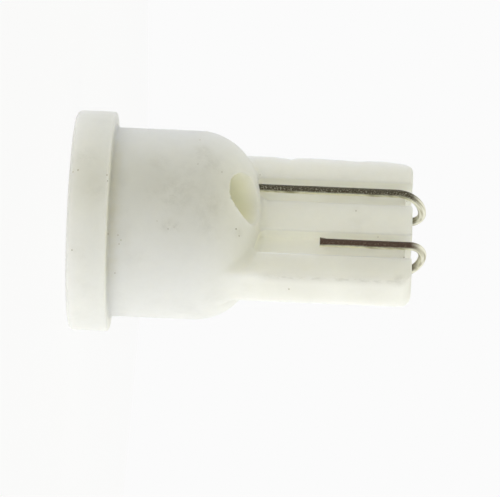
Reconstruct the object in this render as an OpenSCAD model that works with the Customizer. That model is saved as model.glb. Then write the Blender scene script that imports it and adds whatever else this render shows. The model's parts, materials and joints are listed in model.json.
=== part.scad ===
// Wedge base LED bulb: a moulded white shell with a flange, a cup, a domed
// shoulder and a flat wedge, two lead wires that wrap round the wedge's end,
// and a round board with four lamps that lies in the flange.
// The bulb stands on its flange. +Z runs up its axis to the wedge's end,
// X is the width of the wedge and Y its thickness.

/* [Flange and cup] */
// Outer diameter of the flange
flange_d = 11.64; // [11.0:0.02:12.6]
// Thickness of the flange
flange_t = 2.1; // [2.0:0.05:3.0]
// Rounding of the flange's front edge
flange_round = 0.3; // [0.1:0.05:0.5]
// Outer diameter of the cup
cup_d = 10; // [9.7:0.05:10.6]
// Wall of the cup and the dome
wall = 1; // [0.8:0.05:1.2]
// Height of the top of the dome over the flange's front
dome_top = 10; // [9.4:0.05:11.0]
// Rounding of the dome's shoulder
shoulder_r = 3.3; // [3.0:0.05:3.6]
// Rounding of the dome's crown
crown_r = 9.3; // [8.5:0.05:11.0]

/* [Wedge] */
// Overall length of the moulding
body_l = 17.9; // [16.5:0.05:20.0]
// Width of the wedge
wedge_w = 9; // [8.6:0.05:9.4]
// Thickness of the wedge
wedge_t = 2.1; // [1.9:0.05:2.3]
// Rounding of the wedge's long edges
wedge_round = 0.2; // [0.1:0.05:0.35]
// Rounding of the wedge's two end corners
end_round = 0.8; // [0.4:0.05:1.2]
// Width of a wire groove
groove_w = 1.64; // [1.4:0.02:1.8]
// Depth of a wire groove
groove_depth = 0.6; // [0.5:0.02:0.7]
// Depth of the notch where a groove leaves the wedge's end
notch_depth = 0.35; // [0.3:0.01:0.5]

/* [Shoulder holes] */
// Diameter of a hole in the dome's shoulder
vent_d = 2.6; // [2.0:0.05:2.7]
// Distance of a shoulder hole from the middle of the wedge's width
vent_x = 0.85; // [0.4:0.05:1.0]
// Distance of a shoulder hole from the middle of the wedge's thickness
vent_y = 2.97; // [2.85:0.02:3.1]
// Depth of a shoulder hole's floor under the top of the dome
vent_depth = 1.75; // [1.5:0.05:2.0]

/* [Lead wires] */
// Diameter of a lead wire
wire_d = 0.45; // [0.4:0.01:0.5]
// Distance of a wire from the middle of the wedge's width
wire_x = 1.92; // [1.85:0.01:2.05]
// Distance of a wire from the middle of the wedge's thickness
wire_y = 1.05; // [1.0:0.01:1.1]
// How far the bend of a wire's centre line passes the wedge's end
hook_reach = 0.55; // [0.45:0.01:0.9]
// Radius of the wide first quarter of the bend
hook_wide_r = 1.45; // [1.2:0.01:1.6]
// Length of the cut tail that lies back along the wedge
tail_l = 4.8; // [3.0:0.05:6.0]
// Clearance round a wire in its hole
wire_clearance = 0.05; // [0.02:0.01:0.1]

/* [Board] */
// Diameter of the board
board_d = 9.4; // [9.36:0.02:9.5]
// Thickness of the board
board_t = 0.8; // [0.6:0.05:0.9]
// Gap between the board's edge and its seat
board_clearance = 0.05; // [0.02:0.01:0.1]
// Depth of the board's seat under the flange's front
seat_depth = 1.9; // [1.85:0.01:2.0]

/* [Lamps] */
// Distance of a lamp's outer corner from the board's edge
lamp_margin = 0.05; // [0.02:0.01:0.3]
// Direction of a lamp's outer corner, in degrees from the wedge's width
lamp_corner = 38.3; // [36.0:0.1:40.0]
// Height of a lamp over the board
lamp_h = 0.8; // [0.7:0.05:0.85]
// Thickness of a lamp's leads
lead_t = 0.1; // [0.08:0.01:0.15]
// How far a lead's sides lie inside the lamp's sides
lead_inset = 0.4; // [0.3:0.05:0.6]
// Length of a lead's foot under the lamp
foot_l = 0.6; // [0.4:0.05:0.8]
// Height of a lead's upright part
lead_rise = 0.4; // [0.3:0.01:0.5]
// Gap between two lamps end to end
lamp_gap_x = 0.3; // [0.28:0.01:0.34]
// Gap between two lamps side by side
lamp_gap_y = 0.16; // [0.1:0.01:0.2]
// Width of the rim beside the lit face of a lamp
lit_rim = 0.25; // [0.2:0.01:0.4]
// How far the reflector's wall leans in
reflector_lean = 0.23; // [0.1:0.01:0.3]
// Depth of the reflector under the lit face
reflector_depth = 0.42; // [0.3:0.01:0.5]
// Side of the corner cut that marks a lamp's polarity
corner_cut = 0.47; // [0.3:0.01:0.5]
// Width of a solder fillet at a lead
fillet_w = 0.13; // [0.08:0.01:0.13]
// Height of a solder fillet at a lead
fillet_h = 0.32; // [0.2:0.01:0.4]

/* [Resistors] */
// Length of a chip resistor over its caps
resistor_l = 2; // [1.8:0.05:2.2]
// Width of a chip resistor over its caps
resistor_w = 1.25; // [1.1:0.05:1.4]
// Height of a chip resistor over its caps
resistor_h = 0.55; // [0.45:0.05:0.65]
// Length of an end cap
cap_l = 0.38; // [0.25:0.01:0.5]
// Thickness of an end cap
cap_t = 0.05; // [0.03:0.01:0.08]
// Distance of a resistor's centre from the wall of the cup
resistor_gap = 1.36; // [1.3:0.01:1.6]
// Direction of a resistor from the board's centre, in degrees
resistor_turn = 60.5; // [55:0.5:65]

/* [Solder cones] */
// Diameter of a solder cone on the board
cone_d = 1.2; // [1.0:0.05:1.4]
// Height of a solder cone
cone_h = 0.6; // [0.4:0.05:0.9]
// Thickness of the solder round the wire at the cone's tip
cone_tip = 0.06; // [0.04:0.01:0.1]

/* [Hidden] */
$fn = 96;
LAMPS = [1, 2, 3, 4];
TWINS = [1, 2];

// Past this overlap a cutter leaves no skin behind
eps = 0.01;
flange_r = flange_d / 2;
cup_r = cup_d / 2;
seat_r = board_d / 2 + board_clearance;
wire_r = wire_d / 2;
wire_hole_r = wire_r + wire_clearance;
vent_floor = dome_top - vent_depth;
hollow_top = vent_floor - wall;
resistor_reach = cup_r - wall - resistor_gap;

// The crown's arc is centred on the axis, and the shoulder's arc meets it smoothly
crown_z = dome_top - crown_r;
shoulder_z = crown_z + sqrt(pow(crown_r - shoulder_r, 2) - pow(cup_r - shoulder_r, 2));

// The lamps face down, so their lit faces are nearest the flange's front
board_front = seat_depth - board_t;
lamp_front = board_front - lamp_h;
lamp_reach = board_d / 2 - lamp_margin;
lamp_l = lamp_reach * cos(lamp_corner) - lamp_gap_x / 2;
lamp_w = lamp_reach * sin(lamp_corner) - lamp_gap_y / 2;
lit_d = lamp_w - 2 * lit_rim;
reflector_floor_d = lit_d - 2 * reflector_lean;
lead_w = lamp_w - 2 * lead_inset;
package_h = lamp_h - lead_t;
package_l = lamp_l - 2 * lead_t;
lamp_x = (lamp_l + lamp_gap_x) / 2;
lamp_y = (lamp_w + lamp_gap_y) / 2;

// A wide quarter turn and a tight one carry the wire from one face to the other
hook_tight_r = 2 * wire_y - hook_wide_r;
hook_y = wire_y - hook_wide_r;
wide_z = body_l + hook_reach - hook_wide_r;
tight_z = body_l + hook_reach - hook_tight_r;
web_end = body_l - notch_depth;

// What a square corner loses when it is rounded, with the corner at the origin
module corner_loss(r) {
    difference() {
        translate([-r, -eps]) square([r + eps, r + eps]);
        translate([-r, r]) circle(r);
    }
}

module rounded_rectangle(size, r) {
    square([size[0] - 2 * r, size[1]], center = true);
    square([size[0], size[1] - 2 * r], center = true);
    for (sx = [-1, 1], sy = [-1, 1])
        translate([sx * (size[0] / 2 - r), sy * (size[1] / 2 - r)]) circle(r);
}

// Half section of the dome: the outside at inset 0, the hollow at inset = wall
module dome_section(inset) {
    tip = crown_r - inset;
    side = cup_r - inset;
    turn = atan2(cup_r - shoulder_r, shoulder_z - crown_z);
    intersection() {
        square([side, dome_top]);
        union() {
            square([side, shoulder_z]);
            translate([cup_r - shoulder_r, shoulder_z]) circle(shoulder_r - inset);
            translate([0, crown_z]) intersection() {
                circle(tip);
                polygon([[0, 0], [2 * tip * sin(turn), 2 * tip * cos(turn)], [0, 2 * tip]]);
            }
        }
    }
}

module flange_section() {
    difference() {
        square([flange_r, flange_t]);
        translate([flange_r, 0]) corner_loss(flange_round);
    }
}

module cup_hollow() {
    translate([0, 0, -eps]) cylinder(r = seat_r, h = seat_depth + eps);
    intersection() {
        rotate_extrude() dome_section(wall);
        translate([0, 0, seat_depth - eps]) cylinder(r = cup_r, h = hollow_top - seat_depth + eps);
    }
}

// The plain wedge, without its grooves, from inside the dome to the end
module wedge_blank() {
    intersection() {
        linear_extrude(body_l) rounded_rectangle([wedge_w, wedge_t], wedge_round);
        rotate([90, 0, 0]) linear_extrude(wedge_t * 2, center = true)
            translate([0, body_l / 2]) rounded_rectangle([wedge_w, body_l], end_round);
        translate([-wedge_w, -wedge_t, shoulder_z])
            cube([wedge_w * 2, wedge_t * 2, body_l]);
    }
}

module wedge_grooves() {
    groove_root = shoulder_z - eps;
    for (sx = [-1, 1]) {
        for (sy = [-1, 1])
            translate([
                sx * wire_x - groove_w / 2,
                sy > 0 ? wedge_t / 2 - groove_depth : -wedge_t / 2 - eps,
                groove_root
            ])
                cube([groove_w, groove_depth + eps, body_l]);
        translate([sx * wire_x - groove_w / 2, -wedge_t, web_end])
            cube([groove_w, wedge_t * 2, notch_depth + eps]);
    }
}

module housing() {
    color("white") difference() {
        union() {
            rotate_extrude() union() {
                flange_section();
                dome_section(0);
            }
            difference() {
                wedge_blank();
                wedge_grooves();
            }
        }
        cup_hollow();
        for (turn = [0, 180]) rotate([0, 0, turn]) {
            translate([-vent_x, vent_y, vent_floor]) cylinder(d = vent_d, h = vent_depth);
            translate([wire_x, wire_y, shoulder_z]) cylinder(r = wire_hole_r, h = dome_top - shoulder_z);
        }
    }
}

module board() {
    color("ivory") translate([0, 0, board_front]) cylinder(d = board_d, h = board_t);
}

// Puts a lamp in its quarter of the board, with its cut corner outwards
module at_lamp(i) {
    sx = i == 1 || i == 4 ? 1 : -1;
    sy = i < 3 ? 1 : -1;
    translate([sx * lamp_x, sy * lamp_y, lamp_front]) rotate([0, 0, sx > 0 ? 0 : 180]) children();
}

module reflector() {
    cylinder(d1 = lit_d, d2 = reflector_floor_d, h = reflector_depth);
}

module lamp_package(i) {
    color("whitesmoke") at_lamp(i) difference() {
        translate([-package_l / 2, -lamp_w / 2, 0]) cube([package_l, lamp_w, package_h]);
        reflector();
        translate([package_l / 2, lamp_w / 2, -eps]) rotate([0, 0, 45])
            cube([corner_cut, corner_cut, 3 * package_h], center = true);
    }
}

module lamp_phosphor(i) {
    color("gold") at_lamp(i) reflector();
}

module lamp_leads(i) {
    color("silver") at_lamp(i) for (sx = [-1, 1]) {
        translate([sx * (lamp_l - lead_t) / 2, 0, lamp_h - lead_rise / 2])
            cube([lead_t, lead_w, lead_rise], center = true);
        translate([sx * (lamp_l - foot_l) / 2, 0, lamp_h - lead_t / 2])
            cube([foot_l, lead_w, lead_t], center = true);
    }
}

// A wedge of solder that climbs the outer side of each lead
module lamp_solder(i) {
    color("lightgray") at_lamp(i) for (side = [0, 180]) rotate([0, 0, side])
        translate([lamp_l / 2, 0, lamp_h]) rotate([90, 0, 0])
            linear_extrude(lead_w, center = true)
                polygon([[0, 0], [fillet_w, 0], [0, -fillet_h]]);
}

module at_resistor(i) {
    turn = i == 1 ? 0 : 180;
    rotate([0, 0, turn]) rotate([0, 0, 180 - resistor_turn]) translate([resistor_reach, 0, seat_depth])
        rotate([0, 0, resistor_turn - 180]) children();
}

module resistor_block() {
    translate([0, 0, resistor_h / 2])
        cube([resistor_l - 2 * cap_t, resistor_w - 2 * cap_t, resistor_h - 2 * cap_t], center = true);
}

module resistor_body(i) {
    color("dimgray") at_resistor(i) resistor_block();
}

module resistor_caps(i) {
    color("silver") at_resistor(i) difference() {
        for (sx = [-1, 1])
            translate([sx * (resistor_l - cap_l) / 2, 0, resistor_h / 2])
                cube([cap_l, resistor_w, resistor_h], center = true);
        resistor_block();
    }
}

module quarter_bend(r, from) {
    rotate([90, 0, 90]) rotate_extrude(angle = 90, start = from) translate([r, 0]) circle(wire_r);
}

// Straight from the board through the dome, round the wedge's end, and back to the cut tail
module lead_wire(i) {
    turn = i == 1 ? 0 : 180;
    color("silver") rotate([0, 0, turn]) translate([wire_x, 0, 0]) {
        translate([0, wire_y, seat_depth]) cylinder(r = wire_r, h = wide_z - seat_depth);
        translate([0, hook_y, wide_z]) quarter_bend(hook_wide_r, 0);
        translate([0, hook_y, tight_z]) quarter_bend(hook_tight_r, 90);
        translate([0, -wire_y, tight_z - tail_l]) cylinder(r = wire_r, h = tail_l);
    }
}

module wire_solder(i) {
    turn = i == 1 ? 0 : 180;
    color("lightgray") rotate([0, 0, turn]) translate([wire_x, wire_y, seat_depth]) difference() {
        cylinder(d1 = cone_d, r2 = wire_r + cone_tip, h = cone_h);
        translate([0, 0, -eps]) cylinder(r = wire_r, h = cone_h + 2 * eps);
    }
}

housing();
board();
for (i = LAMPS) {
    lamp_package(i);
    lamp_phosphor(i);
    lamp_leads(i);
    lamp_solder(i);
}
for (i = TWINS) {
    resistor_body(i);
    resistor_caps(i);
    lead_wire(i);
    wire_solder(i);
}
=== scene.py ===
# %% [markdown]
# # A wedge base LED bulb
# This lesson dresses a small vehicle bulb whose solids are already fixed. The
# body is one white moulding, two stiff wires wrap round the end of its wedge,
# and a round board with four lamps lies in its flange. Every piece keeps the
# place and size of its solid, so all that is made here is the look.

# %% Load the solids
import itertools
import json
import math

import bpy
import numpy as np
from mathutils import Matrix, Vector
from mathutils.bvhtree import BVHTree

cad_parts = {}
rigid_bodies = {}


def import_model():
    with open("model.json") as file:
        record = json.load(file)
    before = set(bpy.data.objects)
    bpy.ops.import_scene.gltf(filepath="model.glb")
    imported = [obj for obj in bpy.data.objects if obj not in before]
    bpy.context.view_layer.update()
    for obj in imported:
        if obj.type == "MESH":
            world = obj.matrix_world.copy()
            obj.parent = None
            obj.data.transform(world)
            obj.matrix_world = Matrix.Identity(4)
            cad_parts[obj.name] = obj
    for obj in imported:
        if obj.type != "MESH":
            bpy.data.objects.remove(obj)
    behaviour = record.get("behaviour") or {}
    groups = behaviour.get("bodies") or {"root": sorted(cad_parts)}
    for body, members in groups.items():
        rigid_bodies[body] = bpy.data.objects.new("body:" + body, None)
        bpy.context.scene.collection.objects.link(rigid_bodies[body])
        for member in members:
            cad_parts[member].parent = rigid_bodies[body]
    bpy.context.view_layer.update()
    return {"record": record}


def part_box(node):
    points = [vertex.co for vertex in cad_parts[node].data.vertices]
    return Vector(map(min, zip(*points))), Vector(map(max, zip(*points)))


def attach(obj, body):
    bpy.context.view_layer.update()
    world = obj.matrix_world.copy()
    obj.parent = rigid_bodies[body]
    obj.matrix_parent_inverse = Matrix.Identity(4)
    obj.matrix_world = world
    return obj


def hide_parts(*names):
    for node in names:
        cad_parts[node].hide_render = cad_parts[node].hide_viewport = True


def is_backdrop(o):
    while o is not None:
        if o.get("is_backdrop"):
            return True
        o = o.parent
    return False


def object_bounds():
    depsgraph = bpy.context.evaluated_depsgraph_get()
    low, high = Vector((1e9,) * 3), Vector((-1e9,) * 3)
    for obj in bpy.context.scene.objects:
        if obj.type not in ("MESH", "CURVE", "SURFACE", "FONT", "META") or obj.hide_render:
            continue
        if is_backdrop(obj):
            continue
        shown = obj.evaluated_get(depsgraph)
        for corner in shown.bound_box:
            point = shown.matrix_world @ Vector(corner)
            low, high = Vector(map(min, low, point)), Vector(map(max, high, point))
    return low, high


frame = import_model()
MM = 0.001
BODY = "root"

# %% [markdown]
# ## Sizes
# What the solids say is read from them: the flange, the barrel, the wires and
# the board. Sizes that a box can't tell, such as the dome's two radii, are
# written here in millimetres, as the real part is measured.

# %% Sizes in millimetres
body_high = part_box("housing")[1] / MM
wire_low, wire_high = (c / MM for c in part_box("lead_wire_1"))
board_low, board_high = (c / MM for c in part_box("board"))
barrel = next(m for m in frame["record"]["mounts"] if m["name"] == "barrel")

FLANGE_R = body_high.x
BODY_L = body_high.z
CUP_R = barrel["dims"]["r_mm"]
WIRE_R = (wire_high.x - wire_low.x) / 2
WIRE_X = (wire_high.x + wire_low.x) / 2
WIRE_Y = wire_high.y - WIRE_R
WIRE_TOP = wire_high.z - WIRE_R
PLAY = 0.05
SEAT_DEPTH = board_high.z
SEAT_R = board_high.x + PLAY
FLANGE_T = 2.1
FRONT_ROUND = 0.3
REAR_ROUND = 0.18
WALL = 1.0
DOME_TOP = 10.0
SHOULDER_R = 3.3
CROWN_R = 9.3
WEDGE_W = 9.0
WEDGE_T = 2.1
WEDGE_ROUND = 0.28
END_ROUND = 0.8
GROOVE_W = 1.64
GROOVE_DEPTH = 0.6
NOTCH_DEPTH = 0.35
VENT_R = 1.3
VENT_X = 0.85
VENT_Y = 2.97
VENT_DEPTH = 1.75
VENT_FLOOR = DOME_TOP - VENT_DEPTH
HOLLOW_TOP = VENT_FLOOR - WALL
WIRE_HOLE_R = WIRE_R + PLAY
print("flange radius", round(FLANGE_R, 2), "wire radius", round(WIRE_R, 3))
print("wire top", round(WIRE_TOP, 2), "top of the hollow", round(HOLLOW_TOP, 2))

# %% [markdown]
# ## The camera
# The photograph looks square on to the bulb's axis, from about 180 mm, with
# one wide face of the wedge turned up and one narrow side turned down. The
# bulb stands on its flange in this frame, so the camera lies on its side. A
# long lens at a real distance keeps the slight perspective of a close-up.

# %% A new object in the scene
def new_object(name, data):
    """An object that shows this data, linked to the scene."""
    made = bpy.data.objects.new(name, data)
    bpy.context.scene.collection.objects.link(made)
    return made


# %% Place the camera
PHOTO_W = 500
PHOTO_H = 497
SENSOR = 36.0
DISTANCE = 180.0
PX_PER_MM = 18.9
TARGET = Vector((0, 0, 9.5))
TARGET_PX = (253.0, 227.4)
ROUND_AXIS = math.radians(44.0)
YAW = math.radians(0.93)
ROLL = math.radians(2.42)

level = Vector((-math.sin(ROUND_AXIS), math.cos(ROUND_AXIS), 0))
rise = Vector((math.cos(ROUND_AXIS), math.sin(ROUND_AXIS), 0))
along = Vector((0, 0, 1))
to_camera = math.cos(YAW) * level + math.sin(YAW) * along
across = math.cos(YAW) * along - math.sin(YAW) * level
right = math.cos(ROLL) * across + math.sin(ROLL) * rise
up = -math.sin(ROLL) * across + math.cos(ROLL) * rise

offset_x = (TARGET_PX[0] - PHOTO_W / 2) / PX_PER_MM
offset_y = (PHOTO_H / 2 - TARGET_PX[1]) / PX_PER_MM
eye = TARGET + DISTANCE * to_camera - offset_x * right - offset_y * up

cam_data = bpy.data.cameras.new("photo_camera")
cam_data.lens = SENSOR * DISTANCE * PX_PER_MM / PHOTO_W
cam_data.sensor_width = SENSOR
cam_data.clip_start = 0.005
cam_data.clip_end = 5.0
camera = new_object("photo_camera", cam_data)
turn = Matrix((right, up, to_camera)).transposed().to_4x4()
camera.matrix_world = Matrix.Translation(eye * MM) @ turn
bpy.context.scene.camera = camera
print("lens", round(cam_data.lens, 1), "mm")


# %% A pixel of the photograph as a ray
def photo_ray(px, py):
    """Start and direction, in millimetres, of the line of sight through a pixel."""
    side = (px - PHOTO_W / 2) / (PX_PER_MM * DISTANCE)
    height = (PHOTO_H / 2 - py) / (PX_PER_MM * DISTANCE)
    return eye, (side * right + height * up - to_camera).normalized()


# %% [markdown]
# ## The moulded body as a distance field
# The body is one casting with soft corners: a flange, a cup, a dome and a
# wedge that run into each other. Booleans give hard creases, and bevels fail
# where the dome meets the wedge. So the body is written as a formula that
# gives the distance to its surface, in which each join has its own radius.

# %% Rounded joins of two distances
def round_and(a, b, r):
    """Where both solids are, with the edge between them rounded off."""
    return np.minimum(np.maximum(a, b), -r) + np.hypot(np.maximum(a + r, 0), np.maximum(b + r, 0))


def round_or(a, b, r):
    """Where either solid is, with a fillet in the corner between them."""
    return -round_and(-a, -b, r)


def cut_away(a, b, r):
    """Solid a with b cut out of it, and the rim rounded."""
    return round_and(a, -b, r)


def flat_box(x, y, half_x, half_y, r):
    """Distance to a rectangle with round corners, in two dimensions."""
    dx = np.abs(x) - half_x + r
    dy = np.abs(y) - half_y + r
    return np.hypot(np.maximum(dx, 0), np.maximum(dy, 0)) + np.minimum(np.maximum(dx, dy), 0) - r


# %% The turned half of the body
CROWN_Z = DOME_TOP - CROWN_R
SHOULDER_Z = CROWN_Z + math.sqrt((CROWN_R - SHOULDER_R) ** 2 - (CUP_R - SHOULDER_R) ** 2)
CROWN_TURN = math.atan2(CUP_R - SHOULDER_R, SHOULDER_Z - CROWN_Z)
CUP_CORNER = 0.22


def dome(radius, z, inset):
    """A straight barrel whose shoulder and crown are two arcs that meet smoothly."""
    side = radius - CUP_R + inset
    shoulder = np.hypot(radius - CUP_R + SHOULDER_R, z - SHOULDER_Z) - SHOULDER_R + inset
    crown = np.hypot(radius, z - CROWN_Z) - CROWN_R + inset
    lean = np.arctan2(radius, z - CROWN_Z)
    return np.where(z < SHOULDER_Z, side, np.where(lean < CROWN_TURN, crown, shoulder))


def flange_and_cup(radius, z):
    flange = round_and(radius - FLANGE_R, -z, FRONT_ROUND)
    flange = round_and(flange, z - FLANGE_T, REAR_ROUND)
    cup = np.maximum(dome(radius, z, 0.0), FLANGE_T / 2 - z)
    return round_or(flange, cup, CUP_CORNER)


print("the shoulder starts", round(SHOULDER_Z, 2), "mm up")


# %% [markdown]
# ## Wear on the wedge
# The upper edge of the wedge isn't straight in the photograph. It has a small
# nick and a few shallow dips where it was trimmed and knocked. Each one is a
# place along the edge, a depth and a half length, in millimetres.

# %% The wedge, its grooves and its worn edge
EDGE_DIPS = [
    (11.35, 0.14, 0.16),
    (11.0, 0.07, 0.45),
    (13.6, 0.03, 0.5),
    (14.8, 0.08, 0.75),
    (16.9, 0.05, 0.35),
    (18.0, 0.4, 0.8),
]
EDGE_REACH = 0.32
GROOVE_FOOT = 0.1
GROOVE_RIM = 0.07
END_RIM = 0.12


def edge_wear(x, y, z):
    """How far the worn edge at +x, +y lies under the true one."""
    depth = sum(d * np.exp(-(((z - at) / half) ** 2)) for at, d, half in EDGE_DIPS)
    near = ((x - WEDGE_W / 2) ** 2 + (y - WEDGE_T / 2) ** 2) / EDGE_REACH**2
    return depth * np.exp(-near)


def wedge(x, y, z):
    section = flat_box(x, y, WEDGE_W / 2, WEDGE_T / 2, WEDGE_ROUND)
    outline = flat_box(x, z - BODY_L / 2, WEDGE_W / 2, BODY_L / 2, END_ROUND)
    blank = round_and(section, outline, END_RIM) + edge_wear(x, y, z)
    beside_wire = np.abs(np.abs(x) - WIRE_X) - GROOVE_W / 2
    groove = round_and(beside_wire, WEDGE_T / 2 - GROOVE_DEPTH - np.abs(y), GROOVE_FOOT)
    notch = round_and(beside_wire, BODY_L - NOTCH_DEPTH - z, GROOVE_FOOT)
    grooved = cut_away(blank, np.minimum(groove, notch), GROOVE_RIM)
    return np.maximum(grooved, SHOULDER_Z - z)


print("dips along the worn edge:", len(EDGE_DIPS))


# %% The whole moulding
ROOT_FILLET = 0.4
SEAT_RIM = 0.08
VENT_RIM = 0.1
SINK = 0.012
RIPPLE_WAVES = ((2.1, 0.0, 0.7, 0.0), (0.0, 1.7, -1.1, 0.0), (0.0, 0.0, 1.3, 0.5))


def moulding(p):
    """Signed distance to the body's surface, for points in millimetres."""
    x, y, z = p[..., 0], p[..., 1], p[..., 2]
    radius = np.hypot(x, y)
    body = round_or(flange_and_cup(radius, z), wedge(x, y, z), ROOT_FILLET)
    seat = np.maximum(radius - SEAT_R, z - SEAT_DEPTH)
    hollow = np.maximum(dome(radius, z, WALL), z - HOLLOW_TOP)
    body = cut_away(body, np.minimum(seat, hollow), SEAT_RIM)
    for side in (1, -1):
        vent = np.hypot(x + side * VENT_X, y - side * VENT_Y) - VENT_R
        body = cut_away(body, np.maximum(vent, VENT_FLOOR - z), VENT_RIM)
        hole = np.hypot(x - side * WIRE_X, y - side * WIRE_Y) - WIRE_HOLE_R
        body = cut_away(body, np.maximum(hole, SHOULDER_Z - z), SEAT_RIM)
    ripple = 1.0
    for a, b, c, start in RIPPLE_WAVES:
        ripple = ripple * np.sin(a * x + b * y + c * z + start)
    return body + SINK * (1 + ripple) / 2


print("half the wedge's thickness:", round(-float(moulding(np.array([0.0, 0.0, 14.0]))), 2), "mm")


# %% [markdown]
# ## From formula to mesh
# A grid of samples tells which of its cells the surface crosses. A surface
# net puts one point in each of those cells and joins neighbours with quads,
# which gives an even mesh with no poles. Each point is then slid along the
# field's slope until it lies on the true surface, and that slope is also the
# exact normal, so even the small radii shade smoothly.

# %% Surface net
def surface_net(field):
    """Points, in cells of the grid, and quads, from samples that are negative inside."""
    cells = tuple(n - 1 for n in field.shape)
    total = np.zeros(cells + (3,), np.float32)
    count = np.zeros(cells, np.int32)
    crossings = []
    for axis in range(3):
        low = [slice(None)] * 3
        high = [slice(None)] * 3
        low[axis] = slice(0, -1)
        high[axis] = slice(1, None)
        a, b = field[tuple(low)], field[tuple(high)]
        crossed = (a < 0) != (b < 0)
        where = np.where(crossed, a / np.where(crossed, a - b, 1), 0)
        crossings.append((crossed, a < 0))
        others = [i for i in range(3) if i != axis]
        for steps in itertools.product((0, 1), repeat=2):
            part = [slice(None)] * 3
            for i, s in zip(others, steps):
                part[i] = slice(s, cells[i] + s)
            hit = crossed[tuple(part)]
            total[..., axis] += where[tuple(part)]
            for i, s in zip(others, steps):
                total[..., i] += hit * s
            count += hit
    active = count > 0
    number = np.cumsum(active.ravel()).reshape(cells) - 1
    points = np.argwhere(active) + total[active] / count[active][:, None]
    quads = []
    for axis, (crossed, inside) in enumerate(crossings):
        b, c = (axis + 1) % 3, (axis + 2) % 3
        at = np.argwhere(crossed)
        keep = (at[:, b] > 0) & (at[:, c] > 0) & (at[:, b] < cells[b]) & (at[:, c] < cells[c])
        at = at[keep]
        ring = []
        for sb, sc in ((0, 0), (1, 0), (1, 1), (0, 1)):
            corner = at.copy()
            corner[:, b] -= sb
            corner[:, c] -= sc
            ring.append(number[tuple(corner.T)])
        ring = np.stack(ring, axis=1)
        flip = ~inside[tuple(at.T)]
        ring[flip] = ring[flip][:, ::-1]
        quads.append(ring)
    return points, np.concatenate(quads)


# %% Slope of a field and the sliding of points on to its surface
def slope(field, p, h=0.01):
    g = np.empty_like(p)
    for i in range(3):
        step = np.zeros(3)
        step[i] = h
        g[:, i] = field(p + step) - field(p - step)
    return g / np.maximum(np.linalg.norm(g, axis=1, keepdims=True), 1e-9)


SLIDES = 3


def mesh_of(name, field, low, high, cell):
    """A named object whose mesh is the zero surface of a field given in millimetres."""
    axes = [np.arange(a, b + cell, cell) for a, b in zip(low, high)]
    grid = np.stack(np.meshgrid(*axes, indexing="ij"), axis=-1)
    points, quads = surface_net(field(grid))
    points = points * cell + np.array([a[0] for a in axes])
    for _ in range(SLIDES):
        reach = np.clip(field(points), -cell, cell)
        points = points - slope(field, points) * reach[:, None]
    mesh = bpy.data.meshes.new(name)
    mesh.from_pydata(points * MM, [], quads.tolist())
    mesh.shade_smooth()
    mesh.normals_split_custom_set_from_vertices(slope(field, points))
    print(name, "quads:", len(quads))
    return new_object(name, mesh)


# %% The body's mesh
CELL = 0.105
margin = 2.5 * CELL
shell = mesh_of(
    "shell_moulding",
    moulding,
    (-FLANGE_R - margin, -FLANGE_R - margin, -margin),
    (FLANGE_R + margin, FLANGE_R + margin, BODY_L + margin),
    CELL,
)

# %% Where a line of sight meets the body
body_tree = BVHTree.FromPolygons(
    [v.co / MM for v in shell.data.vertices], [tuple(p.vertices) for p in shell.data.polygons]
)


def on_body(px, py):
    """The place on the body, in millimetres, that a pixel of the photograph shows."""
    return body_tree.ray_cast(*photo_ray(px, py))[0]


print("middle of the cup:", [round(v, 2) for v in on_body(160, 211)])

# %% [markdown]
# ## Materials
# All finishes are node materials that read object coordinates, so a pattern
# stays on its piece from any side. A small helper adds a node, sets its plain
# inputs by name and links the rest, which keeps each finish to a few lines.

# %% Helpers for node materials
def add_node(tree, kind, inputs=None, **settings):
    """A new node with its properties and inputs set. A socket as a value is linked."""
    node = tree.nodes.new(kind)
    for key, value in settings.items():
        setattr(node, key, value)
    for key, value in (inputs or {}).items():
        if isinstance(value, bpy.types.NodeSocket):
            tree.links.new(value, node.inputs[key])
        else:
            node.inputs[key].default_value = value
    return node


def new_finish(name, colour, roughness, metallic=0.0):
    """A material with one principled shader, and its object coordinates."""
    finish = bpy.data.materials.new(name)
    finish.use_nodes = True
    shader = finish.node_tree.nodes["Principled BSDF"]
    shader.inputs["Base Color"].default_value = (*colour, 1)
    shader.inputs["Roughness"].default_value = roughness
    shader.inputs["Metallic"].default_value = metallic
    place = add_node(finish.node_tree, "ShaderNodeTexCoord").outputs["Object"]
    return finish, finish.node_tree, shader, place


# %% Noise, bands and sums
def noise(tree, place, size_mm, detail=3.0, roughness=0.55):
    """Noise whose blotches are about size_mm across."""
    scale = 1 / (size_mm * MM)
    inputs = {"Vector": place, "Scale": scale, "Detail": detail, "Roughness": roughness}
    return add_node(tree, "ShaderNodeTexNoise", inputs).outputs["Fac"]


def band(tree, value, low, high):
    """0 under low, 1 over high, and smooth between."""
    inputs = {"Value": value, "From Min": low, "From Max": high}
    made = add_node(tree, "ShaderNodeMapRange", inputs, interpolation_type="SMOOTHSTEP")
    return made.outputs["Result"]


def math_node(tree, operation, *values):
    inputs = dict(enumerate(values))
    return add_node(tree, "ShaderNodeMath", inputs, operation=operation).outputs[0]


def plus(tree, a, b):
    return math_node(tree, "ADD", a, b)


def minus(tree, a, b):
    return math_node(tree, "SUBTRACT", a, b)


def times(tree, a, b):
    return math_node(tree, "MULTIPLY", a, b)


def hypot(tree, a, b):
    return math_node(tree, "SQRT", plus(tree, times(tree, a, a), times(tree, b, b)))


def vector_math(tree, operation, *values):
    """A vector node. Each of its values is a socket or plain numbers."""
    inputs = dict(enumerate(values))
    return add_node(tree, "ShaderNodeVectorMath", inputs, operation=operation)


def xyz(tree, vector):
    """The three numbers of a vector, as sockets with the names X, Y and Z."""
    return add_node(tree, "ShaderNodeSeparateXYZ", {"Vector": vector}).outputs


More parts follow.
